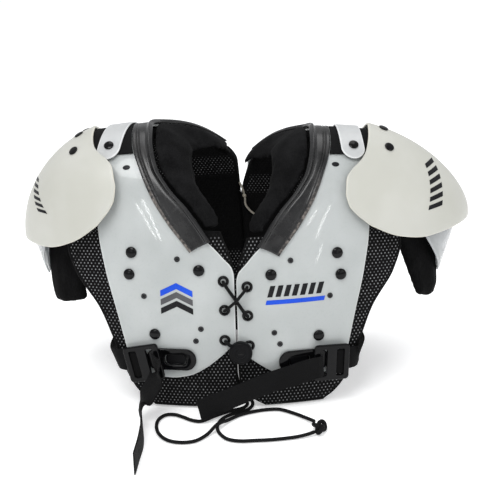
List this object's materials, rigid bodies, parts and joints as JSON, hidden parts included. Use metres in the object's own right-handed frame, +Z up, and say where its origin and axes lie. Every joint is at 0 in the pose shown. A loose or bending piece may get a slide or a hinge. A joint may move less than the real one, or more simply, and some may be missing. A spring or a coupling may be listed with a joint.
{
  "type": "football shoulder pad",
  "caption": "Sports shoulder pad of two laced plastic arches over foam liners, with riveted shoulder caps, hanging arm pads, a padded neck opening and buckled chest straps.",
  "frame": {"origin": "centre of the underside of the whole pad, on the floor it stands on, loose lace left out", "axes": "+X across the pad to the wearer's left, -Y out of the chest, +Z up"},
  "size_m": [0.4914, 0.36, 0.2902],
  "materials": {
    "plate": "milky cool white, glossy, slightly see-through",
    "liner": "black spacer mesh with pale dots over foam",
    "trim": "black, soft sheen, raised bead",
    "neck_pad": "dark grey brushed cloth over foam",
    "web": "black woven webbing",
    "tab": "white, satin",
    "epaulet": "warm ivory, satin",
    "cup": "clear to milky white",
    "deltoid": "black cloth over foam, upright folds",
    "hardware": "black moulded, glossy",
    "lock": "black moulded, matt",
    "lace": "black braided cord",
    "back_cord": "pale twisted cord"
  },
  "bodies": {
    "root": {"left_arch_plate": "plate", "left_body_liner": "liner", "left_neck_trim": "trim", "left_neck_pad": "neck_pad", "left_shoulder_web": "web", "left_web_tab": "tab", "left_epaulet": "epaulet", "left_shoulder_cup": "cup", "left_deltoid_pad": "deltoid", "left_upper_rivet": "hardware", "left_middle_rivet": "hardware", "left_inner_rivet": "hardware", "left_lower_rivet": "hardware", "left_top_eyelet": "hardware", "left_middle_eyelet": "hardware", "left_lower_eyelet": "hardware", "left_tab_front_rivet": "hardware", "left_tab_rear_rivet": "hardware", "left_epaulet_front_rivet": "hardware", "left_epaulet_mid_rivet": "hardware", "left_epaulet_rear_rivet": "hardware", "left_strap_anchor": "hardware", "left_strap_buckle": "hardware", "left_side_strap": "web", "left_strap_tail": "web", "right_arch_plate": "plate", "right_body_liner": "liner", "right_neck_trim": "trim", "right_neck_pad": "neck_pad", "right_shoulder_web": "web", "right_web_tab": "tab", "right_epaulet": "epaulet", "right_shoulder_cup": "cup", "right_deltoid_pad": "deltoid", "right_upper_rivet": "hardware", "right_middle_rivet": "hardware", "right_inner_rivet": "hardware", "right_lower_rivet": "hardware", "right_top_eyelet": "hardware", "right_middle_eyelet": "hardware", "right_lower_eyelet": "hardware", "right_tab_front_rivet": "hardware", "right_tab_rear_rivet": "hardware", "right_epaulet_front_rivet": "hardware", "right_epaulet_mid_rivet": "hardware", "right_epaulet_rear_rivet": "hardware", "right_strap_anchor": "hardware", "right_strap_buckle": "hardware", "right_side_strap": "web", "right_strap_tail": "web", "front_lace_under": "lace", "front_lace_over": "lace", "cord_lock": "lock", "lace_tail_long": "lace", "lace_tail_short": "lace", "lace_knot": "lace", "back_lace": "back_cord"}
  },
  "joints": []
}
